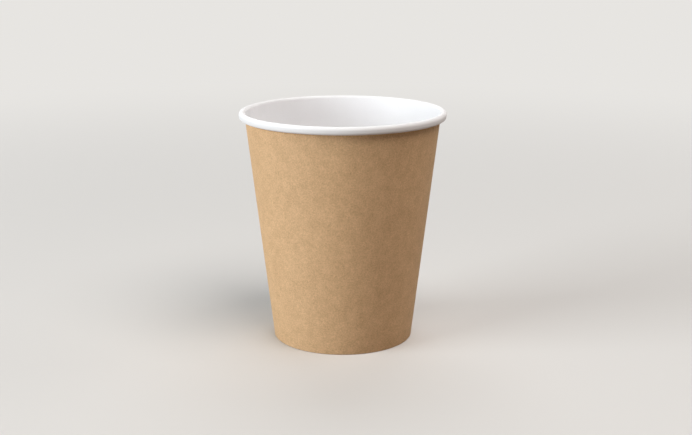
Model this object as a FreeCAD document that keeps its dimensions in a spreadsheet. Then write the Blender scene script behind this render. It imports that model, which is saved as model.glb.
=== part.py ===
"""Single-wall paper coffee cup: a rolled side wall with a lapped side seam, and a crimped bottom disc.

The side wall is one fan-shaped blank of board, kraft outside and white inside. It is wrapped into a cone,
lapped and sealed along the side seam, curled outwards into the drinking rim and folded inwards at the foot.
The bottom is a second blank: a flat disc whose edge is drawn down into a skirt. The skirt stands in the
channel that the folded foot makes, and is sealed there.

Frame: millimetres, +Z up, the axis of the cone is Z, and the foot stands on Z = 0.
Every section is drawn in a half plane through the axis: sketch X is the radius and sketch Y is the height.
"""

import FreeCAD, Part
import math
import os

import Sketcher

SIZES = (
    ("rim_radius", "40.0", "outside of the rolled rim"),
    ("base_radius", "27.3", "outside of the wall where it meets the table"),
    ("cup_height", "90.0", "table to the top of the rim"),
    ("board_thickness", "0.35", "board of the side wall"),
    ("bottom_board", "0.30", "board of the bottom disc"),
    ("seal_film", "0.02", "film that seals each face of the skirt in its channel"),
    ("roll_radius", "1.25", "outside of the rim's first turn"),
    ("roll_drop", "0.75", "straight run between the rim's upper and lower turns"),
    ("roll_gap", "0.12", "air between the turns of the rim"),
    ("tuck_angle", "100.0", "degrees that the last turn of the rim runs on, inside the roll"),
    ("fold_radius", "0.35", "rounding of the foot's two corners"),
    ("hem_height", "6.5", "table to the top of the turned-in hem"),
    ("floor_height", "7.5", "table to the underside of the bottom disc"),
    ("bend_radius", "0.80", "outside of the bend between the disc and its skirt"),
    ("lap_angle", "12.4", "degrees of the cone that the side seam's lap covers"),
    ("ramp_angle", "2.3", "degrees over which the outer end of the blank climbs onto the lap"),
    ("groove_depth", "0.20", "step that the inner end of the blank leaves inside the cup"),
    ("groove_reach", "0.50", "how far the tool that presses the groove stands off the wall"),
    ("seam_bearing", "160.0", "degrees from +X towards +Y where the lap begins"),
)

doc = FreeCAD.newDocument("paper_cup")
sheet = doc.addObject("Spreadsheet::Sheet", "Sizes")
for row, (alias, number, meaning) in enumerate(SIZES, start=1):
    sheet.set(f"A{row}", alias)
    sheet.set(f"B{row}", number)
    sheet.set(f"C{row}", meaning)
    sheet.setAlias(f"B{row}", alias)
doc.recompute()

ROLL_TURN_2 = "Sizes.roll_radius - (Sizes.board_thickness + Sizes.roll_gap) / 2"
ROLL_TURN_3 = "Sizes.roll_radius - Sizes.board_thickness - 2 * Sizes.roll_gap"
CHANNEL = "Sizes.bottom_board + 2 * Sizes.seal_film"

START, END, CENTRE = range(1, 4)
X_AXIS, Y_AXIS = range(-1, -3, -1)
ORIGIN = (X_AXIS, START)


def size(name):
    """The plain number of one cell of the sheet."""
    return float(sheet.get(name))


class Cone:
    """Where the wall and the three turns of the rim lie in the half plane, as the first guess of each sketch."""

    def __init__(self):
        board = size("board_thickness")
        self.board = board
        self.channel = size("bottom_board") + 2 * size("seal_film")
        self.base = FreeCAD.Vector(size("base_radius"), 0, 0)
        self.turn_1 = size("roll_radius")
        self.turn_2 = self.turn_1 - (board + size("roll_gap")) / 2
        self.turn_3 = self.turn_1 - board - 2 * size("roll_gap")
        self.centre_1 = FreeCAD.Vector(
            size("rim_radius") - self.turn_1, size("cup_height") - self.turn_1, 0
        )
        towards = self.centre_1 - self.base
        tilt = math.atan2(towards.x, towards.y)
        self.lean = tilt - math.asin((self.turn_1 - board) / towards.Length)
        self.up = FreeCAD.Vector(math.sin(self.lean), math.cos(self.lean), 0)
        self.out = FreeCAD.Vector(math.cos(self.lean), -math.sin(self.lean), 0)
        drop = self.up * size("roll_drop")
        self.centre_2 = self.centre_1 + self.out * (self.turn_1 - self.turn_2) - drop
        self.centre_3 = self.centre_2 - self.out * (self.turn_2 - self.turn_3) + drop

    def on_wall(self, height, offset=0.0):
        """The point at a height on the line that lies offset outside the wall's outer face."""
        foot = self.base.x + offset / math.cos(self.lean)
        return FreeCAD.Vector(foot + height * math.tan(self.lean), height, 0)

    def around(self, centre, radius, degrees):
        """The point of a turn, with degrees counted from the outward normal of the wall, upwards."""
        angle = math.radians(degrees) - self.lean
        return centre + FreeCAD.Vector(math.cos(angle), math.sin(angle), 0) * radius


class Section:
    """A sketch in a half plane through the axis, with short names for the constraints that it uses."""

    def __init__(self, body, name, bearing=None):
        self.sketch = body.newObject("Sketcher::SketchObject", name)
        plane = [f for f in body.Origin.OriginFeatures if f.Role == "XZ_Plane"][0]
        self.sketch.AttachmentSupport = [(plane, "")]
        self.sketch.MapMode = "FlatFace"
        if bearing:
            turned = FreeCAD.Rotation(FreeCAD.Vector(0, 1, 0), -1)
            self.sketch.AttachmentOffset = FreeCAD.Placement(FreeCAD.Vector(), turned)
            self.sketch.setExpression("AttachmentOffset.Rotation.Angle", bearing)
        self.cone = Cone()

    def line(self, start, end, drawn=True):
        """A straight edge, or a construction line if it isn't drawn."""
        return self.sketch.addGeometry(Part.LineSegment(start, end), not drawn)

    def arc(self, centre, radius, first, last, drawn=True):
        """An arc between two bearings in degrees, counted from the outward normal of the wall, upwards."""
        circle = Part.Circle(centre, FreeCAD.Vector(0, 0, 1), radius)
        span = [math.radians(a) - self.cone.lean for a in (first, last)]
        return self.sketch.addGeometry(Part.ArcOfCircle(circle, *span), not drawn)

    def corner(self, centre, radius, first, last):
        """An arc between two bearings in degrees, counted from sketch X."""
        circle = Part.Circle(centre, FreeCAD.Vector(0, 0, 1), radius)
        span = [math.radians(a) for a in (first, last)]
        return self.sketch.addGeometry(Part.ArcOfCircle(circle, *span), False)

    def hold(self, kind, *places):
        """A constraint with no size, such as Tangent or Parallel."""
        flat = [n for p in places for n in (p if isinstance(p, tuple) else (p,))]
        self.sketch.addConstraint(Sketcher.Constraint(kind, *flat))

    def measure(self, kind, name, formula, now, *places):
        """A constraint whose size follows the sheet."""
        flat = [n for p in places for n in (p if isinstance(p, tuple) else (p,))]
        index = self.sketch.addConstraint(Sketcher.Constraint(kind, *flat, now))
        self.sketch.renameConstraint(index, name)
        self.sketch.setExpression(f"Constraints.{name}", formula)

    def roll_frame(self, face, first_turn, radius_name="roll_inside"):
        """Fixes the wall's outer face and the kraft side of the rim's first turn.

        The face runs through the base point and is tangent to the turn. Returns the line across the roll,
        square to the wall, that the centres of all turns lie on.
        """
        cone = self.cone
        base = self.sketch.addGeometry(Part.Point(cone.base), True)
        self.hold("PointOnObject", (base, START), X_AXIS)
        self.measure("DistanceX", "base_radius", "Sizes.base_radius", cone.base.x, ORIGIN, (base, START))
        self.hold("PointOnObject", (base, START), face)
        self.measure("DistanceX", "roll_x", "Sizes.rim_radius - Sizes.roll_radius", cone.centre_1.x,
                     ORIGIN, (first_turn, CENTRE))
        self.measure("DistanceY", "roll_y", "Sizes.cup_height - Sizes.roll_radius", cone.centre_1.y,
                     ORIGIN, (first_turn, CENTRE))
        inside = cone.turn_1 - cone.board
        self.measure("Radius", radius_name, "Sizes.roll_radius - Sizes.board_thickness", inside, first_turn)
        self.hold("Tangent", (face, END), (first_turn, END))
        across = self.line(cone.centre_1 - cone.out * inside, cone.centre_1 + cone.out * inside, False)
        self.hold("Coincident", (across, START), (face, END))
        self.hold("Coincident", (across, END), (first_turn, START))
        self.hold("PointOnObject", (first_turn, CENTRE), across)
        return across

    def reference(self):
        """The wall's outer face and the rim's first turn as construction lines, for the seam's sections."""
        cone = self.cone
        inside = cone.turn_1 - cone.board
        face = self.line(cone.base, cone.centre_1 - cone.out * inside, False)
        turn = self.arc(cone.centre_1, inside, 0, 180, False)
        self.hold("PointOnObject", (face, START), X_AXIS)
        across = self.roll_frame(face, turn)
        return face, turn, across

    def roll_side(self, radius_1, radius_2, upper, lower):
        """The straight outer side of the roll, between the start of the upper turn and the end of the lower."""
        cone = self.cone
        side = self.line(cone.around(cone.centre_1, radius_1, 0), cone.around(cone.centre_2, radius_2, 0))
        self.hold("Tangent", (upper, START), (side, START))
        self.hold("Tangent", (side, END), (lower, END))
        return side

    def beside(self, edge, face, name, formula, now):
        """Keeps a straight edge parallel to the wall's face, at a distance from the face's upper end."""
        self.hold("Parallel", edge, face)
        self.measure("Distance", name, formula, now, (face, END), edge)

    def check(self):
        """Stops the build if the sketch isn't solved or isn't fully held."""
        if self.sketch.solve() != 0:
            raise ValueError(f"sketch {self.sketch.Name} has no solution")
        if not self.sketch.FullyConstrained:
            raise ValueError(f"sketch {self.sketch.Name} isn't fully constrained")
        return self.sketch


def sheet_section(body):
    """The blank's own section: foot, wall, three turns of the rim, and back down to the hem."""
    s = Section(body, "SheetSection")
    c = s.cone
    board = c.board
    fold = size("fold_radius")
    hem = board + c.channel
    skirt_foot = c.on_wall(board, -board)
    hem_foot = c.on_wall(board, -hem)
    hem_top = c.on_wall(size("hem_height"), -hem)
    foot_outer = c.on_wall(0).x - fold
    foot_inner = c.on_wall(0, -hem - board).x + fold
    tuck = 180 - size("tuck_angle")

    foot = s.line(FreeCAD.Vector(foot_inner, 0, 0), FreeCAD.Vector(foot_outer, 0, 0))
    fold_outer = s.corner(FreeCAD.Vector(foot_outer, fold, 0), fold, -90, -math.degrees(c.lean))
    wall_outer = s.line(c.on_wall(fold), c.around(c.centre_1, c.turn_1 - board, 180))
    kraft_1 = s.arc(c.centre_1, c.turn_1 - board, 0, 180)
    kraft_2 = s.arc(c.centre_2, c.turn_2 - board, 180, 360)
    kraft_rise = s.line(c.around(c.centre_2, c.turn_2 - board, 180), c.around(c.centre_3, c.turn_3 - board, 180))
    kraft_3 = s.arc(c.centre_3, c.turn_3 - board, tuck, 180)
    raw_edge = s.line(c.around(c.centre_3, c.turn_3 - board, tuck), c.around(c.centre_3, c.turn_3, tuck))
    white_3 = s.arc(c.centre_3, c.turn_3, tuck, 180)
    white_rise = s.line(c.around(c.centre_2, c.turn_2, 180), c.around(c.centre_3, c.turn_3, 180))
    white_2 = s.arc(c.centre_2, c.turn_2, 180, 360)
    white_1 = s.arc(c.centre_1, c.turn_1, 0, 180)
    wall_inner = s.line(c.around(c.centre_1, c.turn_1, 180), skirt_foot)
    channel = s.line(skirt_foot, hem_foot)
    hem_outer = s.line(hem_foot, hem_top)
    hem_end = s.line(hem_top, hem_top - c.out * board)
    hem_inner = s.line(hem_top - c.out * board, c.on_wall(fold, -hem - board))
    fold_inner = s.corner(FreeCAD.Vector(foot_inner, fold, 0), fold, 180 - math.degrees(c.lean), 270)

    across = s.roll_frame(wall_outer, kraft_1)
    kraft_side = s.roll_side(c.turn_1 - board, c.turn_2 - board, kraft_1, kraft_2)
    white_side = s.roll_side(c.turn_1, c.turn_2, white_1, white_2)
    s.measure("Distance", "roll_drop", "Sizes.roll_drop", size("roll_drop"), kraft_side)
    for straight in (white_side, kraft_rise, white_rise):
        s.hold("Parallel", straight, wall_outer)
    s.hold("PointOnObject", (kraft_3, CENTRE), across)
    for kraft, white in ((kraft_1, white_1), (kraft_2, white_2), (kraft_3, white_3)):
        s.hold("Coincident", (kraft, CENTRE), (white, CENTRE))
    s.measure("Radius", "turn_1", "Sizes.roll_radius", c.turn_1, white_1)
    s.measure("Radius", "turn_2", ROLL_TURN_2, c.turn_2, white_2)
    s.measure("Radius", "turn_3", ROLL_TURN_3, c.turn_3, white_3)
    s.hold("Tangent", (kraft_2, START), (kraft_rise, START))
    s.hold("Tangent", (kraft_rise, END), (kraft_3, END))
    s.hold("Coincident", (kraft_3, START), (raw_edge, START))
    s.hold("Coincident", (raw_edge, END), (white_3, START))
    s.hold("PointOnObject", (kraft_3, CENTRE), raw_edge)
    s.measure("Angle", "tuck", "Sizes.tuck_angle", math.radians(size("tuck_angle")), kraft_3)
    s.hold("Tangent", (white_3, END), (white_rise, END))
    s.hold("Tangent", (white_rise, START), (white_2, START))
    s.hold("Tangent", (white_1, END), (wall_inner, START))
    s.hold("Parallel", wall_inner, wall_outer)

    s.hold("PointOnObject", (foot, START), X_AXIS)
    s.hold("Tangent", (foot, END), (fold_outer, START))
    s.hold("Tangent", (fold_outer, END), (wall_outer, START))
    s.hold("PointOnObject", (foot, END), X_AXIS)
    s.measure("Radius", "fold_outer", "Sizes.fold_radius", fold, fold_outer)
    s.hold("Coincident", (wall_inner, END), (channel, START))
    s.hold("Horizontal", channel)
    s.measure("DistanceY", "channel_floor", "Sizes.board_thickness", board, ORIGIN, (channel, START))
    s.hold("Coincident", (channel, END), (hem_outer, START))
    s.hold("Parallel", hem_outer, wall_outer)
    s.measure("Distance", "channel_width", CHANNEL, c.channel, (hem_outer, END), wall_inner)
    s.measure("DistanceY", "hem_height", "Sizes.hem_height", size("hem_height"), ORIGIN, (hem_outer, END))
    s.hold("Coincident", (hem_outer, END), (hem_end, START))
    s.hold("Perpendicular", hem_end, hem_outer)
    s.measure("Distance", "hem_board", "Sizes.board_thickness", board, hem_end)
    s.hold("Coincident", (hem_end, END), (hem_inner, START))
    s.hold("Parallel", hem_inner, wall_outer)
    s.hold("Tangent", (hem_inner, END), (fold_inner, START))
    s.hold("Tangent", (fold_inner, END), (foot, START))
    s.measure("Radius", "fold_inner", "Sizes.fold_radius", fold, fold_inner)
    return s.check()


def lap_section(body):
    """The outer layer of the side seam: over the wall, under the foot and up the hem, with the roll pressed solid.

    Its hidden side runs along the middle of the blank, so that the two layers join in one piece.
    """
    s = Section(body, "LapSection")
    c = s.cone
    board = c.board
    fold = size("fold_radius")
    middle = board / 2
    hem_middle = board + c.channel + middle
    hem_face = board + c.channel + 2 * board
    hem_top = size("hem_height") - board
    foot_outer = c.on_wall(0, board).x - fold
    foot_inner = c.on_wall(0, -hem_face).x + fold
    under = math.degrees(math.acos((c.turn_2 + size("roll_gap") - board) / (c.turn_2 - middle)))
    meeting = c.around(c.centre_2, c.turn_2 - middle, 180 + under)

    face, turn, across = s.reference()
    foot = s.line(FreeCAD.Vector(foot_inner, 0, 0), FreeCAD.Vector(foot_outer, 0, 0))
    fold_outer = s.corner(FreeCAD.Vector(foot_outer, fold, 0), fold, -90, -math.degrees(c.lean))
    lap_outer = s.line(c.on_wall(fold, board), meeting)
    pressed_2 = s.arc(c.centre_2, c.turn_2 - middle, 180 + under, 360)
    pressed_1 = s.arc(c.centre_1, c.turn_1 - middle, 0, 180)
    wall_middle = s.line(c.around(c.centre_1, c.turn_1 - middle, 180), c.on_wall(middle, -middle))
    foot_middle = s.line(c.on_wall(middle, -middle), c.on_wall(middle, -hem_middle))
    hem_core = s.line(c.on_wall(middle, -hem_middle), c.on_wall(hem_top, -hem_middle))
    hem_end = s.line(c.on_wall(hem_top, -hem_middle), c.on_wall(hem_top, -hem_face))
    hem_inner = s.line(c.on_wall(hem_top, -hem_face), c.on_wall(fold, -hem_face))
    fold_inner = s.corner(FreeCAD.Vector(foot_inner, fold, 0), fold, 180 - math.degrees(c.lean), 270)

    s.hold("PointOnObject", (foot, START), X_AXIS)
    s.hold("PointOnObject", (foot, END), X_AXIS)
    s.hold("Tangent", (foot, END), (fold_outer, START))
    s.hold("Tangent", (fold_outer, END), (lap_outer, START))
    s.measure("Radius", "fold_outer", "Sizes.fold_radius", fold, fold_outer)
    s.beside(lap_outer, face, "lap_outer", "Sizes.board_thickness", board)
    s.hold("Coincident", (lap_outer, END), (pressed_2, START))
    s.hold("Coincident", (pressed_1, CENTRE), (turn, CENTRE))
    s.hold("PointOnObject", (pressed_1, START), across)
    side = s.roll_side(c.turn_1 - middle, c.turn_2 - middle, pressed_1, pressed_2)
    s.measure("Distance", "roll_drop", "Sizes.roll_drop", size("roll_drop"), side)
    s.measure("Radius", "pressed_2", f"{ROLL_TURN_2} - Sizes.board_thickness / 2", c.turn_2 - middle, pressed_2)
    s.measure("Radius", "pressed_1", "Sizes.roll_radius - Sizes.board_thickness / 2", c.turn_1 - middle, pressed_1)
    s.hold("Tangent", (pressed_1, END), (wall_middle, START))
    s.hold("Parallel", wall_middle, face)
    s.hold("Coincident", (wall_middle, END), (foot_middle, START))
    s.hold("Horizontal", foot_middle)
    s.measure("DistanceY", "foot_middle", "Sizes.board_thickness / 2", middle, ORIGIN, (foot_middle, START))
    s.hold("Coincident", (foot_middle, END), (hem_core, START))
    s.beside(hem_core, face, "hem_core", f"{CHANNEL} + 1.5 * Sizes.board_thickness", hem_middle)
    s.hold("Coincident", (hem_core, END), (hem_end, START))
    s.measure("DistanceY", "hem_top", "Sizes.hem_height - Sizes.board_thickness", hem_top, ORIGIN, (hem_end, START))
    s.hold("Horizontal", hem_end)
    s.hold("Coincident", (hem_end, END), (hem_inner, START))
    s.beside(hem_inner, face, "hem_inner", f"{CHANNEL} + 3 * Sizes.board_thickness", hem_face)
    s.hold("Tangent", (hem_inner, END), (fold_inner, START))
    s.hold("Tangent", (fold_inner, END), (foot, START))
    s.measure("Radius", "fold_inner", "Sizes.fold_radius", fold, fold_inner)
    return s.check()


def ramp_section(body, name, outside, now, bearing=None):
    """A strip of board from the middle of the wall out to a distance from its outer face."""
    s = Section(body, name, bearing)
    c = s.cone
    bottom = size("fold_radius")
    top = size("cup_height") - size("roll_radius") - c.board
    sign = 1 if now > 0 else -1

    face, _, _ = s.reference()
    inner = s.line(c.on_wall(bottom, -c.board / 2), c.on_wall(top, -c.board / 2))
    upper = s.line(c.on_wall(top, -c.board / 2), c.on_wall(top, now))
    outer = s.line(c.on_wall(top, now), c.on_wall(bottom, now))
    lower = s.line(c.on_wall(bottom, now), c.on_wall(bottom, -c.board / 2))

    for before, after in ((inner, upper), (upper, outer), (outer, lower), (lower, inner)):
        s.hold("Coincident", (before, END), (after, START))
    s.hold("Horizontal", upper)
    s.hold("Horizontal", lower)
    s.measure("DistanceY", "bottom", "Sizes.fold_radius", bottom, ORIGIN, (lower, START))
    s.measure("DistanceY", "top", "Sizes.cup_height - Sizes.roll_radius - Sizes.board_thickness", top,
              ORIGIN, (upper, START))
    s.beside(inner, face, "inner", "Sizes.board_thickness / 2", c.board / 2)
    s.beside(outer, face, "outer", outside, sign * now)
    return s.check()


def groove_section(body, name, depth, now, bearing=None):
    """A band along the white face, from the floor up the wall and over the rim, to a depth in the board."""
    s = Section(body, name, bearing)
    c = s.cone
    reach = size("groove_reach")
    bottom = size("floor_height") + size("bottom_board")
    sign = 1 if now > 0 else -1
    edges = []

    face, turn, across = s.reference()
    for off in (reach, -now):
        straight = s.line(c.on_wall(bottom, -c.board - off), c.around(c.centre_1, c.turn_1 + off, 180))
        over = s.arc(c.centre_1, c.turn_1 + off, 0, 180)
        under = s.arc(c.centre_2, c.turn_2 + off, 270, 360)
        side = s.roll_side(c.turn_1 + off, c.turn_2 + off, over, under)
        edges.append((straight, over, under, side))
    far, near = edges
    foot = s.line(c.on_wall(bottom, -c.board - reach), c.on_wall(bottom, -c.board + now))
    tip = s.line(c.around(c.centre_2, c.turn_2 + reach, 270), c.around(c.centre_2, c.turn_2 - now, 270))

    for straight, over, _, _ in edges:
        s.hold("Coincident", (over, CENTRE), (turn, CENTRE))
        s.hold("Tangent", (straight, END), (over, END))
        s.hold("Parallel", straight, face)
    s.hold("Parallel", near[3], face)
    s.measure("Distance", "roll_drop", "Sizes.roll_drop", size("roll_drop"), far[3])
    s.hold("PointOnObject", (far[1], START), across)
    s.hold("Coincident", (far[2], CENTRE), (near[2], CENTRE))
    s.measure("Radius", "far_over", "Sizes.roll_radius + Sizes.groove_reach", c.turn_1 + reach, far[1])
    s.measure("Radius", "far_under", f"{ROLL_TURN_2} + Sizes.groove_reach", c.turn_2 + reach, far[2])
    s.measure("Radius", "near_over", f"Sizes.roll_radius {depth}", c.turn_1 - now, near[1])
    s.hold("Coincident", (far[0], START), (foot, START))
    s.hold("Coincident", (near[0], START), (foot, END))
    s.hold("Horizontal", foot)
    s.measure("DistanceY", "bottom", "Sizes.floor_height + Sizes.bottom_board", bottom, ORIGIN, (foot, START))
    s.hold("Coincident", (far[2], START), (tip, START))
    s.hold("Coincident", (near[2], START), (tip, END))
    s.hold("Parallel", tip, face)
    s.hold("PointOnObject", (far[2], CENTRE), tip)
    return s.check()


def turn_about_axis(body, name, section, angle=None):
    """Turns a section about the cup's axis, all the way round or through an angle of the sheet."""
    turned = body.newObject("PartDesign::Revolution", name)
    turned.Profile = section
    turned.ReferenceAxis = (section, ["V_Axis"])
    turned.Angle = 360.0
    if angle:
        turned.setExpression("Angle", angle)
    return turned


def side_wall():
    """The fan blank as it is wrapped, lapped, curled and folded."""
    body = doc.addObject("PartDesign::Body", "side_wall")
    body.Label = "side_wall"
    film = size("seal_film")

    turn_about_axis(body, "SheetTurn", sheet_section(body))
    turn_about_axis(body, "LapTurn", lap_section(body), "Sizes.lap_angle")

    ramp = body.newObject("PartDesign::AdditiveLoft", "LapRamp")
    ramp.Profile = ramp_section(body, "RampFoot", "Sizes.seal_film", -film, "-Sizes.ramp_angle")
    ramp.Sections = [ramp_section(body, "RampTop", "Sizes.board_thickness", size("board_thickness"))]
    ramp.Ruled = True

    groove = body.newObject("PartDesign::SubtractiveLoft", "EdgeGroove")
    groove.Profile = groove_section(body, "GrooveStart", "+ Sizes.seal_film", -film, "-Sizes.ramp_angle")
    groove.Sections = [groove_section(body, "GrooveEnd", "- Sizes.groove_depth", size("groove_depth"))]
    groove.Ruled = True

    body.Placement = FreeCAD.Placement(FreeCAD.Vector(), FreeCAD.Rotation(FreeCAD.Vector(0, 0, 1), 1))
    body.setExpression("Placement.Rotation.Angle", "Sizes.seam_bearing")
    return body


def bottom_section(body):
    """Half of the bottom disc: the flat floor, the bend and the skirt that follows the wall down."""
    s = Section(body, "BottomSection")
    c = s.cone
    film = size("seal_film")
    thick = size("bottom_board")
    bend = size("bend_radius")
    floor = size("floor_height")
    outside = c.board + film
    inside = outside + thick
    foot = c.board
    lean = math.degrees(c.lean)
    bend_x = c.on_wall(floor + thick - bend, -outside).x - bend / math.cos(c.lean)
    centre = FreeCAD.Vector(bend_x, floor + thick - bend, 0)

    face, _, _ = s.reference()
    top = s.line(FreeCAD.Vector(0, floor + thick, 0), FreeCAD.Vector(bend_x, floor + thick, 0))
    bend_outer = s.corner(centre, bend, -lean, 90)
    skirt_outer = s.line(centre + c.out * bend, c.on_wall(foot, -outside))
    skirt_end = s.line(c.on_wall(foot, -outside), c.on_wall(foot, -inside))
    skirt_inner = s.line(c.on_wall(foot, -inside), centre + c.out * (bend - thick))
    bend_inner = s.corner(centre, bend - thick, -lean, 90)
    under = s.line(FreeCAD.Vector(bend_x, floor, 0), FreeCAD.Vector(0, floor, 0))
    axis = s.line(FreeCAD.Vector(0, floor, 0), FreeCAD.Vector(0, floor + thick, 0))

    s.hold("Coincident", (axis, END), (top, START))
    s.hold("Coincident", (under, END), (axis, START))
    s.hold("PointOnObject", (axis, START), Y_AXIS)
    s.hold("Vertical", axis)
    s.hold("Horizontal", top)
    s.hold("Horizontal", under)
    s.measure("DistanceY", "floor", "Sizes.floor_height", floor, ORIGIN, (axis, START))
    s.measure("DistanceY", "thickness", "Sizes.bottom_board", thick, (axis, START), (axis, END))
    s.hold("Tangent", (top, END), (bend_outer, END))
    s.hold("Tangent", (bend_outer, START), (skirt_outer, START))
    s.measure("Radius", "bend", "Sizes.bend_radius", bend, bend_outer)
    s.hold("Coincident", (bend_inner, CENTRE), (bend_outer, CENTRE))
    s.hold("Tangent", (under, START), (bend_inner, END))
    s.hold("Tangent", (bend_inner, START), (skirt_inner, END))
    s.beside(skirt_outer, face, "skirt", "Sizes.board_thickness + Sizes.seal_film", outside)
    s.hold("Parallel", skirt_inner, face)
    s.hold("Coincident", (skirt_outer, END), (skirt_end, START))
    s.hold("Coincident", (skirt_end, END), (skirt_inner, START))
    s.hold("Horizontal", skirt_end)
    s.measure("DistanceY", "skirt_foot", "Sizes.board_thickness", foot, ORIGIN, (skirt_end, START))
    return s.check()


def bottom_disc():
    """The round blank, drawn down at its edge."""
    body = doc.addObject("PartDesign::Body", "bottom_disc")
    body.Label = "bottom_disc"
    turn_about_axis(body, "BottomTurn", bottom_section(body))
    return body


def write(bodies):
    """Checks every object and each body's shape, then writes one STEP file for each body."""
    doc.recompute()
    for made in doc.Objects:
        if {"Invalid", "Error"} & set(made.State):
            raise ValueError(f"{made.Name} did not build: {made.State}")
    os.makedirs("parts", exist_ok=True)
    for body in bodies:
        shape = body.Shape
        if shape.isNull() or not shape.isValid() or len(shape.Solids) != 1:
            raise ValueError(f"{body.Label} is not one valid solid")
        print(f"{body.Label}: {shape.Volume:.1f} mm3, {len(shape.Faces)} faces, {shape.BoundBox}")
        shape.exportStep(f"parts/{body.Label}.step")


write([side_wall(), bottom_disc()])
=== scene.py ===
"""Looks of a single-wall paper coffee cup, dressed round its construction model.

The cup is two pieces of coated board. The wall is one blank, kraft outside and white inside.
It is wrapped into a cone, lapped along the side seam, curled into the rim and folded under at
the foot. The bottom is a round blank with a drawn skirt that stands in the fold. All sizes are
metres, in the frame of the model.
"""

import logging
from dataclasses import dataclass
from enum import Enum
from math import asin, atan2, ceil, cos, degrees, radians, sin, tan, tau
from typing import Callable, Iterable

import bmesh
import bpy
from mathutils import Matrix, Vector


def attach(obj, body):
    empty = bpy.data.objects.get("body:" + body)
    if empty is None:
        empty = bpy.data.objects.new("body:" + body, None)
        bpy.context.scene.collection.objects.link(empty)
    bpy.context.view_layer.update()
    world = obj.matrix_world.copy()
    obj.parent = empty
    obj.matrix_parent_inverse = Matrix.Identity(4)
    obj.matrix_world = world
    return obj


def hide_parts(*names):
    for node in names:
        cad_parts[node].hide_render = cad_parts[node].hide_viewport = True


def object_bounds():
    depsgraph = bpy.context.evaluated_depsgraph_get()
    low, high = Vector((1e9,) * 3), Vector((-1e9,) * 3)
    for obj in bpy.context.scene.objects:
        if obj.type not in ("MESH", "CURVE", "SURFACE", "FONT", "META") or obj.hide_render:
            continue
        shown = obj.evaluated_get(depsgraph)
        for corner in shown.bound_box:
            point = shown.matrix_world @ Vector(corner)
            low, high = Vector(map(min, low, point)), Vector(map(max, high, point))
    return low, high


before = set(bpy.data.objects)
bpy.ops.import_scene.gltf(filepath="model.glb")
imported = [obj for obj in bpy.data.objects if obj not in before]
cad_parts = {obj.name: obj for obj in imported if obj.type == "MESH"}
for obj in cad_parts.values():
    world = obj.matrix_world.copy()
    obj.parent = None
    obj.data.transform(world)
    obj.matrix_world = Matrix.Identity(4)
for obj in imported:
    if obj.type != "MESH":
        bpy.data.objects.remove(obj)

LOG = logging.getLogger("paper_cup")
MM = 0.001
MERGE_DISTANCE = 0.0001 * MM
QUARTER = tau / 4
HALF = tau / 2
CAD_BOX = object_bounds()

Colour = tuple[float, float, float]
Socket = bpy.types.NodeSocket


class Side(Enum):
    """The faces of a piece of board, in the order of the materials on a mesh."""

    KRAFT = 0
    WHITE = 1
    CUT = 2


@dataclass(frozen=True)
class CupSizes:
    """The cup's driving sizes, and what follows from them in the half plane y = 0.

    Attributes:
        rim_radius: Outer radius of the rolled rim.
        cup_height: Height of the rim's top.
        base_radius: Outer radius of the wall at the table.
        board: Thickness of the wall's board.
        bottom_board: Thickness of the bottom's board.
        seal_film: Film between skirt and wall, and between skirt and hem.
        roll_radius: Outer radius of the rim's first turn.
        roll_drop: Straight side between the rim's first two turns.
        roll_gap: Air between the layers of the rim.
        tuck: Angle of the rim's last turn.
        hem_height: Height of the hem's raw edge.
        floor_height: Height of the bottom's underside.
        bend_radius: Outer radius of the bottom's drawn bend.
        lap: Angle that the seam's outer layer covers at full lift.
        ramp: Angle over which the board climbs onto the lap.
        raw_step: Lift of the white side over the seam's inner raw edge.
        seam_bearing: Bearing of the inner raw edge, from +X.
    """

    rim_radius: float
    cup_height: float
    base_radius: float = 27.3 * MM
    board: float = 0.35 * MM
    bottom_board: float = 0.30 * MM
    seal_film: float = 0.02 * MM
    roll_radius: float = 1.25 * MM
    roll_drop: float = 0.75 * MM
    roll_gap: float = 0.12 * MM
    tuck: float = radians(100)
    hem_height: float = 6.5 * MM
    floor_height: float = 7.5 * MM
    bend_radius: float = 0.8 * MM
    lap: float = radians(12.4)
    ramp: float = radians(2.3)
    raw_step: float = 0.2 * MM
    seam_bearing: float = radians(160)

    @property
    def channel(self) -> float:
        """Width of the channel that the bottom's skirt stands in."""
        return self.bottom_board + 2 * self.seal_film

    @property
    def roll_centre(self) -> Vector:
        """Centre of the rim's first turn."""
        return Vector((self.rim_radius - self.roll_radius, 0, self.cup_height - self.roll_radius))

    @property
    def lean(self) -> float:
        """Angle of the wall to the axis, with its outer face tangent to the roll's inside."""
        run = self.roll_centre - Vector((self.base_radius, 0, 0))
        return atan2(run.x, run.z) - asin((self.roll_radius - self.board) / run.length)

    @property
    def up(self) -> Vector:
        """Direction up the wall."""
        return Vector((sin(self.lean), 0, cos(self.lean)))

    @property
    def out(self) -> Vector:
        """Direction square to the wall, away from the drink."""
        return Vector((cos(self.lean), 0, -sin(self.lean)))

    def beside_wall(self, height: float, offset: float) -> Vector:
        """Point at a height, at an offset outwards from the wall's outer face.

        Args:
            height: Height above the table.
            offset: Distance square to the wall, negative towards the drink.

        Returns:
            The point in the half plane y = 0.
        """
        radius = self.base_radius + offset / cos(self.lean) + height * tan(self.lean)
        return Vector((radius, 0, height))


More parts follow.
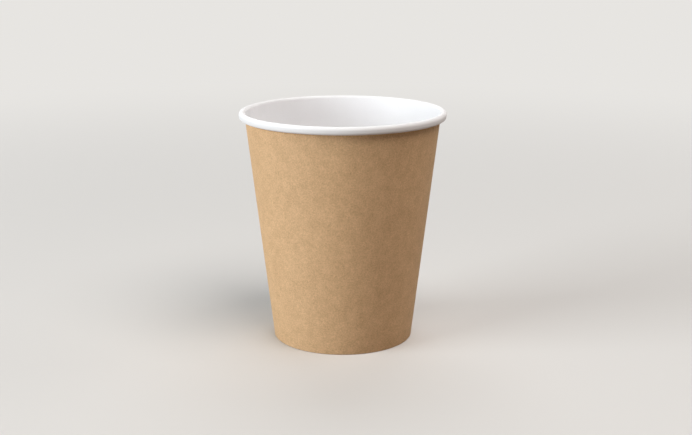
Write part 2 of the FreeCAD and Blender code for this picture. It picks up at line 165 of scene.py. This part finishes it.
class Strip:
    """A strip of board in the half plane y = 0, drawn as it would be bent on a bench.

    The strip is a ladder of quads. Each rung runs from the back of the board to its face. Every
    vertex keeps which side it is on, the direction through the board, and how strongly the hem
    tool marks it. STEP is the widest step of an even bend.
    """

    STEP = radians(12)

    def __init__(self, back: Vector, face: Vector) -> None:
        """Starts the strip with its first rung.

        Args:
            back: Point on the white or upper side.
            face: Point on the kraft or lower side.
        """
        self.mesh = bmesh.new()
        layers = self.mesh.verts.layers
        self.side = layers.int.new("side")
        self.through = layers.float_vector.new("through")
        self.press = layers.float.new("press")
        first = self.mesh.verts.new(back)
        second = self.mesh.verts.new(face)
        first[self.side] = Side.WHITE.value
        second[self.side] = Side.KRAFT.value
        self.rung = self.mesh.edges.new((first, second))
        self._aim([first, second])

    def _aim(self, verts: Iterable[bmesh.types.BMVert]) -> None:
        """Writes the present direction through the board on a rung's vertices.

        Args:
            verts: The vertices of the rung.
        """
        ends = sorted(self.rung.verts, key=lambda v: -v[self.side])
        through = (ends[1].co - ends[0].co).normalized()
        for vert in verts:
            vert[self.through] = through

    def run(
        self, way: Vector, parts: int, press: Callable[[float], float] = lambda share: 0.0
    ) -> None:
        """Carries the strip straight on.

        Args:
            way: The whole length and direction.
            parts: Number of quads.
            press: Strength of the hem tool by the share of the way.
        """
        for step in range(parts):
            grown = bmesh.ops.extrude_edge_only(self.mesh, edges=[self.rung])["geom"]
            verts = [g for g in grown if isinstance(g, bmesh.types.BMVert)]
            bmesh.ops.translate(self.mesh, verts=verts, vec=way / parts)
            self.rung = self.mesh.edges.get(verts)
            for vert in verts:
                vert[self.press] = press((step + 1) / parts)

    def bend(self, centre: Vector, angle: float, parts: int = 0) -> None:
        """Bends the strip round a centre.

        Args:
            centre: Centre of the bend.
            angle: Angle of the bend, positive from Z towards X.
            parts: Number of quads, or 0 for even steps of STEP at most.
        """
        parts = parts or ceil(abs(angle) / self.STEP)
        for _ in range(parts):
            geom = [self.rung, *self.rung.verts]
            turned = bmesh.ops.spin(
                self.mesh, geom=geom, cent=centre, axis=(0, 1, 0), angle=angle / parts, steps=1
            )["geom_last"]
            verts = [g for g in turned if isinstance(g, bmesh.types.BMVert)]
            self.rung = self.mesh.edges.get(verts)
            for vert in verts:
                vert[self.press] = 0.0
            self._aim(verts)


def new_piece(
    name: str, mesh: bmesh.types.BMesh, materials: Iterable[bpy.types.Material]
) -> bpy.types.Object:
    """Turns a finished bmesh into an object of the scene.

    Args:
        name: Name of the piece.
        mesh: The bmesh, which is freed.
        materials: The materials in the order of the face indices.

    Returns:
        The new object, at the origin.
    """
    data = bpy.data.meshes.new(name)
    mesh.to_mesh(data)
    mesh.free()
    for material in materials:
        data.materials.append(material)
    piece = bpy.data.objects.new(name, data)
    bpy.context.scene.collection.objects.link(piece)
    return piece


def soften(mesh: bmesh.types.BMesh, limit: float = radians(40)) -> None:
    """Shades a bmesh smooth, with sharp edges where two faces meet at more than the limit.

    Args:
        mesh: The bmesh.
        limit: Least angle between two faces at a sharp edge.
    """
    for face in mesh.faces:
        face.smooth = True
    for edge in mesh.edges:
        edge.smooth = edge.calc_face_angle(0.0) < limit


def ease(share: float) -> float:
    """Softens both ends of a share that goes from 0 to 1."""
    return share * share * (3 - 2 * share)


@dataclass(frozen=True)
class SideWall:
    """The fan blank: hem, foot, wall, rolled rim and side seam.

    Attributes:
        sizes: The cup's sizes.
        turns: Steps of the wrap once round the axis.
        ramp_steps: Steps of the wrap up the ramp.
        lap_steps: Steps of the wrap along the lap.
        wall_rows: Quads up the wall.
        hem_rows: Quads down the hem.
        flat_rows: Quads along each short straight run.
        fold_steps: Quads round each fold at the foot.
        knurl_steps: Steps of the wrap from one knurl to the next.
        knurl_depth: Depth of a knurl at the middle of the hem.
    """

    sizes: CupSizes
    turns: int = 240
    ramp_steps: int = 4
    lap_steps: int = 8
    wall_rows: int = 12
    hem_rows: int = 8
    flat_rows: int = 2
    fold_steps: int = 6
    knurl_steps: int = 3
    knurl_depth: float = 0.11 * MM

    def section(self) -> Strip:
        """Draws the blank's section from the hem's end to the edge tucked into the roll.

        Returns:
            The strip of board.
        """
        s = self.sizes
        hem_offset = s.board + s.channel
        top = s.beside_wall(s.hem_height, -hem_offset)
        inner_corner = s.beside_wall(s.board, -hem_offset)
        outer_corner = s.beside_wall(s.board, -s.board)
        second_radius = s.roll_radius - (s.board + s.roll_gap) / 2
        third_radius = s.roll_radius - s.board - 2 * s.roll_gap
        drop = s.up * s.roll_drop
        second_centre = s.roll_centre + s.out * (s.roll_radius - second_radius) - drop
        third_centre = second_centre - s.out * (second_radius - third_radius) + drop
        wall_top = s.roll_centre - s.out * s.roll_radius

        strip = Strip(top, top - s.out * s.board)
        strip.run(inner_corner - top, self.hem_rows, lambda share: max(0.0, sin(share * HALF)))
        strip.bend(inner_corner, -(QUARTER + s.lean), self.fold_steps)
        strip.run(outer_corner - inner_corner, self.flat_rows)
        strip.bend(outer_corner, -(QUARTER - s.lean), self.fold_steps)
        strip.run(wall_top - outer_corner, self.wall_rows)
        strip.bend(s.roll_centre, HALF)
        strip.run(-drop, self.flat_rows)
        strip.bend(second_centre, HALF)
        strip.run(drop, self.flat_rows)
        strip.bend(third_centre, s.tuck)
        return strip

    def _wrap(self, strip: Strip) -> dict[str, list[bmesh.types.BMVert]]:
        """Wraps the section round the axis: once round, up the ramp and along the lap.

        Args:
            strip: The section, which grows into the whole wall.

        Returns:
            The vertices that each stage of the wrap adds.
        """
        s = self.sizes
        mesh = strip.mesh
        bmesh.ops.rotate(
            mesh, verts=mesh.verts, cent=(0, 0, 0), matrix=Matrix.Rotation(s.seam_bearing, 3, "Z")
        )
        stages = {
            "round": (tau - s.ramp, self.turns),
            "ramp": (s.ramp, self.ramp_steps),
            "lap": (s.lap, self.lap_steps),
        }
        grown: dict[str, list[bmesh.types.BMVert]] = {}
        last = list(mesh.verts) + list(mesh.edges) + list(mesh.faces)
        known = set(mesh.verts)
        for stage, (angle, steps) in stages.items():
            last = bmesh.ops.spin(
                mesh, geom=last, cent=(0, 0, 0), axis=(0, 0, 1), angle=angle, steps=steps
            )["geom_last"]
            grown[stage] = [v for v in mesh.verts if v not in known]
            known.update(grown[stage])
        return grown

    def _lay_seam(self, strip: Strip, grown: dict[str, list[bmesh.types.BMVert]]) -> None:
        """Lifts the outer end of the blank over its inner end, and keeps the foot flat.

        Args:
            strip: The wrapped wall.
            grown: The vertices by stage of the wrap.
        """
        s = self.sizes
        start = s.seam_bearing - s.ramp
        for stage in ("ramp", "lap"):
            for vert in grown[stage]:
                bearing = atan2(vert.co.y, vert.co.x)
                rise = ease(min(1.0, (bearing - start) / s.ramp))
                lifted = s.board
                if stage == "ramp" and vert[strip.side] == Side.WHITE.value:
                    lifted = s.raw_step
                through = Matrix.Rotation(bearing, 3, "Z") @ vert[strip.through]
                vert.co += through * (lifted * rise)
                vert.co.z = max(vert.co.z, 0.0)

    def _press_hem(self, strip: Strip) -> None:
        """Presses the hem tool's upright knurls into the kraft side of the hem.

        Args:
            strip: The wrapped wall.
        """
        pitch = self.knurl_steps * (tau - self.sizes.ramp) / self.turns
        for vert in strip.mesh.verts:
            strength = vert[strip.press]
            if strength and vert[strip.side] == Side.KRAFT.value:
                bearing = atan2(vert.co.y, vert.co.x)
                wave = 0.5 + 0.5 * cos(tau * (bearing - self.sizes.seam_bearing) / pitch)
                through = Matrix.Rotation(bearing, 3, "Z") @ vert[strip.through]
                vert.co -= through * (self.knurl_depth * strength * wave)

    def _sort_sides(self, strip: Strip) -> None:
        """Gives each face its side of the board, or the cut edge where it joins both sides.

        Args:
            strip: The wrapped wall.
        """
        for face in strip.mesh.faces:
            sides = {v[strip.side] for v in face.verts}
            face.material_index = sides.pop() if len(sides) == 1 else Side.CUT.value

    def build(self, materials: Iterable[bpy.types.Material]) -> bpy.types.Object:
        """Builds the whole wall.

        Args:
            materials: The kraft, white and cut finishes.

        Returns:
            The wall's object.
        """
        strip = self.section()
        grown = self._wrap(strip)
        self._lay_seam(strip, grown)
        self._press_hem(strip)
        self._sort_sides(strip)
        bmesh.ops.remove_doubles(strip.mesh, verts=strip.mesh.verts, dist=MERGE_DISTANCE)
        bmesh.ops.recalc_face_normals(strip.mesh, faces=strip.mesh.faces)
        soften(strip.mesh)
        return new_piece("rolled_wall", strip.mesh, materials)


@dataclass(frozen=True)
class BottomDisc:
    """The round blank: floor, drawn bend and skirt.

    Attributes:
        sizes: The cup's sizes.
        turns: Steps round the axis.
        rings: Quads along the floor.
        bend_steps: Quads round the drawn bend.
        skirt_rows: Quads down the skirt.
    """

    sizes: CupSizes
    turns: int = 240
    rings: int = 10
    bend_steps: int = 10
    skirt_rows: int = 4

    def section(self) -> Strip:
        """Draws half of the bottom's section, from the axis to the foot of the skirt.

        Returns:
            The strip of board.
        """
        s = self.sizes
        outside = s.board + s.seal_film
        top = s.floor_height + s.bottom_board
        bend_height = top - s.bend_radius
        skirt_top = s.beside_wall(bend_height, -outside)
        centre = Vector((skirt_top.x - s.bend_radius / cos(s.lean), 0, bend_height))
        skirt_start = centre + s.out * s.bend_radius
        skirt_foot = s.beside_wall(s.board + s.bottom_board * sin(s.lean), -outside)

        strip = Strip(Vector((0, 0, top)), Vector((0, 0, s.floor_height)))
        strip.run(Vector((centre.x, 0, 0)), self.rings)
        strip.bend(centre, QUARTER + s.lean, self.bend_steps)
        strip.run(skirt_foot - skirt_start, self.skirt_rows)
        return strip

    def build(self, materials: Iterable[bpy.types.Material]) -> bpy.types.Object:
        """Turns the section about the axis.

        Args:
            materials: The finishes in the order of Side. Both faces take the white one.

        Returns:
            The bottom's object.
        """
        strip = self.section()
        mesh = strip.mesh
        bmesh.ops.delete(mesh, geom=mesh.faces, context="FACES_KEEP_BOUNDARY")
        on_axis = [e for e in mesh.edges if all(v.co.x < MERGE_DISTANCE for v in e.verts)]
        bmesh.ops.delete(mesh, geom=on_axis, context="EDGES")
        outline = list(mesh.verts) + list(mesh.edges)
        bmesh.ops.spin(
            mesh,
            geom=outline,
            cent=(0, 0, 0),
            axis=(0, 0, 1),
            angle=tau,
            steps=self.turns,
            use_merge=True,
        )
        for face in mesh.faces:
            sides = {v[strip.side] for v in face.verts}
            face.material_index = Side.WHITE.value if len(sides) == 1 else Side.CUT.value
        bmesh.ops.remove_doubles(mesh, verts=mesh.verts, dist=MERGE_DISTANCE)
        bmesh.ops.recalc_face_normals(mesh, faces=mesh.faces)
        soften(mesh)
        return new_piece("drawn_bottom", mesh, materials)


class NodeBench:
    """A small helper that adds nodes to a tree and wires them.

    The colour sockets of a Mix node share their names with others, so they are kept by place.
    """

    MIX_SHARE, MIX_FIRST, MIX_SECOND, MIX_RESULT = 0, 6, 7, 2

    def __init__(self, tree: bpy.types.NodeTree) -> None:
        """Keeps the tree that it works on."""
        self.tree = tree

    def add(self, kind: str, **settings: object) -> bpy.types.Node:
        """Adds a node.

        Args:
            kind: Node type without its ShaderNode prefix.
            **settings: Attributes of the node.

        Returns:
            The node.
        """
        node = self.tree.nodes.new(kind if kind.startswith("Node") else f"ShaderNode{kind}")
        for name, value in settings.items():
            setattr(node, name, value)
        return node

    def wire(self, source: Socket, target: Socket) -> None:
        """Joins two sockets."""
        self.tree.links.new(source, target)

    def noise(
        self,
        where: Socket,
        scale: float,
        detail: float = 2.0,
        rough: float = 0.5,
        distortion: float = 0.0,
    ) -> Socket:
        """Adds a noise texture.

        Args:
            where: Coordinate socket.
            scale: Features per metre.
            detail: Number of octaves.
            rough: Strength of each further octave.
            distortion: Swirl of the pattern.

        Returns:
            The noise value's socket.
        """
        node = self.add("TexNoise", noise_dimensions="3D")
        self.wire(where, node.inputs["Vector"])
        node.inputs["Scale"].default_value = scale
        node.inputs["Detail"].default_value = detail
        node.inputs["Roughness"].default_value = rough
        node.inputs["Distortion"].default_value = distortion
        return node.outputs["Fac"]

    def span(
        self,
        value: Socket,
        low: float,
        high: float,
        to_low: float = 0.0,
        to_high: float = 1.0,
        smooth: bool = False,
    ) -> Socket:
        """Maps one range of a value to another.

        Args:
            value: The value's socket.
            low: Value that becomes to_low.
            high: Value that becomes to_high.
            to_low: Start of the new range.
            to_high: End of the new range.
            smooth: Whether the ends are eased.

        Returns:
            The result's socket.
        """
        node = self.add("MapRange", interpolation_type="SMOOTHSTEP" if smooth else "LINEAR")
        self.wire(value, node.inputs["Value"])
        limits = {"From Min": low, "From Max": high, "To Min": to_low, "To Max": to_high}
        for name, limit in limits.items():
            node.inputs[name].default_value = limit
        return node.outputs["Result"]

    def contrast(self, value: Socket, gain: float) -> Socket:
        """Spreads a value round one half.

        Args:
            value: The value's socket.
            gain: How much wider the value is spread.

        Returns:
            The result's socket.
        """
        return self.span(value, 0.5 - 0.5 / gain, 0.5 + 0.5 / gain)

    def combine(self, kind: str, first: Socket, second: Socket | float) -> Socket:
        """Combines two values.

        Args:
            kind: Math operation.
            first: First value's socket.
            second: Second value's socket, or a number.

        Returns:
            The result's socket.
        """
        node = self.add("Math", operation=kind)
        self.wire(first, node.inputs[0])
        if isinstance(second, (int, float)):
            node.inputs[1].default_value = second
        else:
            self.wire(second, node.inputs[1])
        return node.outputs[0]

    def direct_view(self) -> Socket:
        """Masks the rays that show the backdrop: of the camera, of gloss and through glass.

        Returns:
            The mask's socket.
        """
        path = self.add("LightPath")
        seen = self.combine("MAXIMUM", path.outputs["Is Camera Ray"], path.outputs["Is Glossy Ray"])
        return self.combine("MAXIMUM", seen, path.outputs["Is Transmission Ray"])

    def tint(self, mask: Socket, first: Socket | Colour, second: Socket | Colour) -> Socket:
        """Mixes two colours.

        Args:
            mask: Share of the second colour.
            first: First colour, as a socket or a triple.
            second: Second colour, as a socket or a triple.

        Returns:
            The mixed colour's socket.
        """
        node = self.add("Mix", data_type="RGBA")
        self.wire(mask, node.inputs[self.MIX_SHARE])
        for place, colour in ((self.MIX_FIRST, first), (self.MIX_SECOND, second)):
            if isinstance(colour, tuple):
                node.inputs[place].default_value = (*colour, 1.0)
            else:
                self.wire(colour, node.inputs[place])
        return node.outputs[self.MIX_RESULT]


@dataclass(frozen=True)
class PaperFibre:
    """The look of pressed pulp, as one node group that every board finish uses.

    Its outputs are a fine and a broad mottle, a mask of dark flecks, and a height for the bump.

    Attributes:
        name: Name of the group.
        grain_scale: Features per metre of the fine mottle.
        weave_scale: Features per metre of the finest tooth.
        weave_share: Share of the finest tooth in the height.
        cloud_scale: Features per metre of the broad mottle.
        fleck_scale: Features per metre of the flecks.
        fleck_squeeze: Scale of the flecks along Z, which draws them out upright.
        fleck_edge: Softness of a fleck's edge.
    """

    name: str = "Paper fibre"
    grain_scale: float = 1850.0
    weave_scale: float = 4070.0
    weave_share: float = 0.4
    cloud_scale: float = 260.0
    fleck_scale: float = 1500.0
    fleck_squeeze: float = 0.45
    fleck_edge: float = 0.05

    def build(self) -> bpy.types.NodeTree:
        """Makes the group.

        Returns:
            The node group.
        """
        group = bpy.data.node_groups.new(self.name, "ShaderNodeTree")
        sockets = group.interface
        sockets.new_socket("Position", in_out="INPUT", socket_type="NodeSocketVector")
        sockets.new_socket("Fleck share", in_out="INPUT", socket_type="NodeSocketFloat")
        for output in ("Grain", "Cloud", "Fleck", "Height"):
            sockets.new_socket(output, in_out="OUTPUT", socket_type="NodeSocketFloat")
        bench = NodeBench(group)
        given = bench.add("NodeGroupInput")
        result = bench.add("NodeGroupOutput")
        position = given.outputs["Position"]

        grain = bench.noise(position, self.grain_scale, detail=3.0, rough=0.62, distortion=0.25)
        cloud = bench.noise(position, self.cloud_scale, rough=0.55)
        stretched = bench.add("Mapping")
        bench.wire(position, stretched.inputs["Vector"])
        stretched.inputs["Scale"].default_value = (1.0, 1.0, self.fleck_squeeze)
        drawn_out = stretched.outputs["Vector"]
        flecks = bench.noise(drawn_out, self.fleck_scale, detail=1.0, distortion=1.2)
        edge = bench.combine("SUBTRACT", flecks, given.outputs["Fleck share"])
        fleck = bench.span(edge, 0.0, self.fleck_edge, smooth=True)
        weave = bench.noise(position, self.weave_scale, rough=0.6, distortion=0.8)
        coarse = bench.combine("MULTIPLY", grain, 1.0 - self.weave_share)
        fine = bench.combine("MULTIPLY", weave, self.weave_share)
        height = bench.combine("ADD", coarse, fine)

        found = {"Grain": grain, "Cloud": cloud, "Fleck": fleck, "Height": height}
        for name, socket in found.items():
            bench.wire(socket, result.inputs[name])
        return group


@dataclass(frozen=True)
class BoardFinish:
    """One face of a paper board: its colour, mottling, flecks, roughness and tooth.

    Attributes:
        name: Name of the material.
        dark: Colour of the darkest mottle.
        light: Colour of the lightest mottle.
        fleck: Colour of the flecks.
        fleck_share: Noise value above which a fleck lies.
        fleck_strength: Share of the fleck's colour.
        grain: Contrast of the fine mottle.
        cloud: Contrast of the broad mottle.
        roughness: Middle roughness.
        tooth: Depth of the bump.
        specular: Specular level.
        roughness_spread: How far the roughness leaves its middle.
        grain_reach: Values between which nearly all of the grain's noise lies.
    """

    name: str
    dark: Colour
    light: Colour
    fleck: Colour
    fleck_share: float
    fleck_strength: float
    grain: float
    cloud: float
    roughness: float
    tooth: float
    specular: float = 0.3
    roughness_spread: float = 0.06
    grain_reach: tuple[float, float] = (0.2, 0.8)

    def build(self, fibre: bpy.types.NodeTree) -> bpy.types.Material:
        """Makes the material.

        Args:
            fibre: The paper fibre node group.

        Returns:
            The material.
        """
        material = bpy.data.materials.new(self.name)
        material.use_nodes = True
        tree = material.node_tree
        tree.nodes.clear()
        bench = NodeBench(tree)
        position = bench.add("TexCoord").outputs["Object"]
        pulp = bench.add("Group", node_tree=fibre)
        bench.wire(position, pulp.inputs["Position"])
        pulp.inputs["Fleck share"].default_value = self.fleck_share

        grain = bench.contrast(pulp.outputs["Grain"], self.grain)
        cloud = bench.contrast(pulp.outputs["Cloud"], self.cloud)
        mottle = bench.combine("MULTIPLY", bench.combine("ADD", grain, cloud), 0.5)
        ground = bench.tint(mottle, self.dark, self.light)
        speck = bench.combine("MULTIPLY", pulp.outputs["Fleck"], self.fleck_strength)
        colour = bench.tint(speck, ground, self.fleck)
        smoothest = self.roughness - self.roughness_spread
        roughest = self.roughness + self.roughness_spread
        rough = bench.span(pulp.outputs["Grain"], *self.grain_reach, smoothest, roughest)

        bump = bench.add("Bump")
        bump.inputs["Strength"].default_value = 1.0
        bump.inputs["Distance"].default_value = self.tooth
        bench.wire(pulp.outputs["Height"], bump.inputs["Height"])

        shader = bench.add("BsdfPrincipled")
        shader.inputs["Specular IOR Level"].default_value = self.specular
        bench.wire(colour, shader.inputs["Base Color"])
        bench.wire(rough, shader.inputs["Roughness"])
        bench.wire(bump.outputs["Normal"], shader.inputs["Normal"])
        bench.wire(shader.outputs["BSDF"], bench.add("OutputMaterial").inputs["Surface"])
        return material


KRAFT_BOARD = BoardFinish(
    name="Kraft board",
    dark=(0.425, 0.250, 0.119),
    light=(0.926, 0.618, 0.345),
    fleck=(0.30, 0.17, 0.08),
    fleck_share=0.71,
    fleck_strength=0.35,
    grain=2.3,
    cloud=0.8,
    roughness=0.70,
    tooth=0.12 * MM,
    specular=0.45,
)
COATED_BOARD = BoardFinish(
    name="White coated board",
    dark=(0.884, 0.876, 0.884),
    light=(0.919, 0.911, 0.919),
    fleck=(0.74, 0.72, 0.68),
    fleck_share=0.74,
    fleck_strength=0.25,
    grain=1.0,
    cloud=1.0,
    roughness=0.50,
    tooth=0.008 * MM,
    specular=0.33,
)
CUT_BOARD = BoardFinish(
    name="Cut edge of board",
    dark=(0.52, 0.37, 0.24),
    light=(0.76, 0.62, 0.46),
    fleck=(0.40, 0.26, 0.14),
    fleck_share=0.66,
    fleck_strength=0.5,
    grain=1.2,
    cloud=0.6,
    roughness=0.9,
    tooth=0.05 * MM,
)
CUT_WHITE_BOARD = BoardFinish(
    name="Cut edge of white board",
    dark=(0.70, 0.68, 0.64),
    light=(0.84, 0.83, 0.80),
    fleck=(0.60, 0.56, 0.50),
    fleck_share=0.70,
    fleck_strength=0.4,
    grain=1.0,
    cloud=1.0,
    roughness=0.85,
    tooth=0.04 * MM,
)


@dataclass(frozen=True)
class SoftLamp:
    """One square soft lamp, aimed at the cup's axis.

    Attributes:
        name: Name of the lamp.
        bearing: Bearing from the front, positive to the right.
        elevation: Angle above the table.
        width: Side of the square.
        power: Power in watts.
        colour: Colour of the light.
        distance: Distance from the point that it is aimed at.
        aim_height: Height of that point.
    """

    name: str
    bearing: float
    elevation: float
    width: float
    power: float
    colour: Colour
    distance: float = 1.6
    aim_height: float = 45 * MM

    def build(self) -> None:
        """Hangs the lamp and turns it to the cup."""
        light = bpy.data.lights.new(self.name, "AREA")
        light.shape = "SQUARE"
        light.size = self.width
        light.energy = self.power
        light.color = self.colour
        lamp = bpy.data.objects.new(self.name, light)
        away = Vector((
            sin(self.bearing) * cos(self.elevation),
            -cos(self.bearing) * cos(self.elevation),
            sin(self.elevation),
        ))
        lamp.location = Vector((0, 0, self.aim_height)) + away * self.distance
        lamp.rotation_euler = away.to_track_quat("Z", "Y").to_euler()
        bpy.context.scene.collection.objects.link(lamp)


LAMPS = (
    SoftLamp(
        name="key_lamp",
        bearing=radians(-66),
        elevation=radians(12),
        width=1.0,
        power=28.7,
        colour=(0.94, 1.0, 1.03),
    ),
    SoftLamp(
        name="fill_lamp",
        bearing=radians(110),
        elevation=radians(28),
        width=1.0,
        power=2.3,
        colour=(1.07, 1.0, 0.93),
    ),
    SoftLamp(
        name="top_lamp",
        bearing=radians(40),
        elevation=radians(60),
        width=1.2,
        power=18.1,
        colour=(1.06, 1.0, 0.96),
    ),
    SoftLamp(
        name="back_lamp",
        bearing=radians(180),
        elevation=radians(50),
        width=1.2,
        power=8.3,
        colour=(0.96, 1.0, 1.04),
    ),
)


@dataclass(frozen=True)
class Studio:
    """The plain pale floor, the backdrop, the soft lamps, the ambient light and the camera.

    Attributes:
        floor_width: Side of the floor.
        floor_roughness: Roughness of the floor.
        floor_specular: Specular level of the floor.
        floor_colour: Colour of the floor.
        bounce_colour: Colour of the floor in the light that it gives back.
        backdrop_colour: Colour far behind the cup.
        backdrop_start: Distance at which the floor begins to fade into the backdrop.
        backdrop_end: Distance at which it has faded.
        ambient: Strength of the even light.
        ambient_colour: Colour of the even light.
        lens: Focal length of the camera in millimetres.
        sensor_width: Width of its sensor in millimetres.
        near_clip: Least distance that it sees.
        camera_place: Place of the camera.
        camera_pitch: Angle by which it looks down.
        lamps: The soft lamps.
    """

    floor_width: float = 6.0
    floor_roughness: float = 0.9
    floor_specular: float = 0.1
    floor_colour: Colour = (0.72, 0.706, 0.685)
    bounce_colour: Colour = (0.21, 0.165, 0.135)
    backdrop_colour: Colour = (0.80, 0.783, 0.757)
    backdrop_start: float = 0.15
    backdrop_end: float = 0.75
    ambient: float = 0.03
    ambient_colour: Colour = (0.985, 0.985, 0.90)
    lens: float = 63.57
    sensor_width: float = 36.0
    near_clip: float = 10 * MM
    camera_place: tuple[float, float, float] = (1.26 * MM, -467.0 * MM, 163.7 * MM)
    camera_pitch: float = radians(14.0)
    lamps: tuple[SoftLamp, ...] = LAMPS

    def _lay_floor(self) -> None:
        """Lays the floor, which fades into the backdrop far from the cup."""
        mesh = bmesh.new()
        bmesh.ops.create_grid(mesh, x_segments=1, y_segments=1, size=self.floor_width / 2)
        material = bpy.data.materials.new("Pale floor")
        material.use_nodes = True
        material.node_tree.nodes.clear()
        bench = NodeBench(material.node_tree)
        bounced = bench.add("LightPath").outputs["Is Diffuse Ray"]
        shader = bench.add("BsdfPrincipled")
        colour = bench.tint(bounced, self.floor_colour, self.bounce_colour)
        bench.wire(colour, shader.inputs["Base Color"])
        shader.inputs["Roughness"].default_value = self.floor_roughness
        shader.inputs["Specular IOR Level"].default_value = self.floor_specular
        distance = bench.add("VectorMath", operation="LENGTH")
        bench.wire(bench.add("TexCoord").outputs["Object"], distance.inputs[0])
        far = bench.span(
            distance.outputs["Value"], self.backdrop_start, self.backdrop_end, smooth=True
        )
        glow = bench.add("Emission")
        glow.inputs["Color"].default_value = (*self.backdrop_colour, 1.0)
        mix = bench.add("MixShader")
        bench.wire(bench.combine("MULTIPLY", far, bench.direct_view()), mix.inputs["Fac"])
        bench.wire(shader.outputs["BSDF"], mix.inputs[1])
        bench.wire(glow.outputs["Emission"], mix.inputs[2])
        bench.wire(mix.outputs["Shader"], bench.add("OutputMaterial").inputs["Surface"])
        floor = new_piece("studio_floor", mesh, [material])

    def _light_room(self) -> None:
        """Sets the even ambient light, and the backdrop above the floor."""
        world = bpy.data.worlds.new("Soft room")
        world.use_nodes = True
        bench = NodeBench(world.node_tree)
        background = world.node_tree.nodes["Background"]
        seen = bench.direct_view()
        colour = bench.tint(seen, self.ambient_colour, self.backdrop_colour)
        strength = bench.span(seen, 0.0, 1.0, to_low=self.ambient)
        bench.wire(colour, background.inputs["Color"])
        bench.wire(strength, background.inputs["Strength"])
        bpy.context.scene.world = world

    def _place_camera(self) -> None:
        """Sets the camera where the photograph was taken from."""
        data = bpy.data.cameras.new("photo_camera")
        data.lens = self.lens
        data.sensor_width = self.sensor_width
        data.clip_start = self.near_clip
        camera = bpy.data.objects.new("photo_camera", data)
        camera.location = self.camera_place
        camera.rotation_euler = (QUARTER - self.camera_pitch, 0, 0)
        bpy.context.scene.collection.objects.link(camera)
        bpy.context.scene.camera = camera

    def build(self) -> None:
        """Sets up the whole studio."""
        self._lay_floor()
        self._light_room()
        self._place_camera()
        for lamp in self.lamps:
            lamp.build()
        bpy.context.scene.view_settings.view_transform = "Standard"


def main() -> None:
    """Builds the cup and its studio, and reports each piece."""
    logging.basicConfig(level=logging.INFO)
    low, high = CAD_BOX
    sizes = CupSizes(rim_radius=-low[0], cup_height=high[2])
    LOG.info("wall leans %.2f degrees", degrees(sizes.lean))

    fibre = PaperFibre().build()
    kraft = KRAFT_BOARD.build(fibre)
    white = COATED_BOARD.build(fibre)
    cut = CUT_BOARD.build(fibre)
    cut_white = CUT_WHITE_BOARD.build(fibre)

    wall = SideWall(sizes).build([kraft, white, cut])
    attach(wall, "root")
    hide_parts("side_wall")
    LOG.info("%s has %d faces", wall.name, len(wall.data.polygons))

    bottom = BottomDisc(sizes).build([white, white, cut_white])
    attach(bottom, "root")
    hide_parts("bottom_disc")
    LOG.info("%s has %d faces", bottom.name, len(bottom.data.polygons))

    Studio().build()


if __name__ == "__main__":
    main()
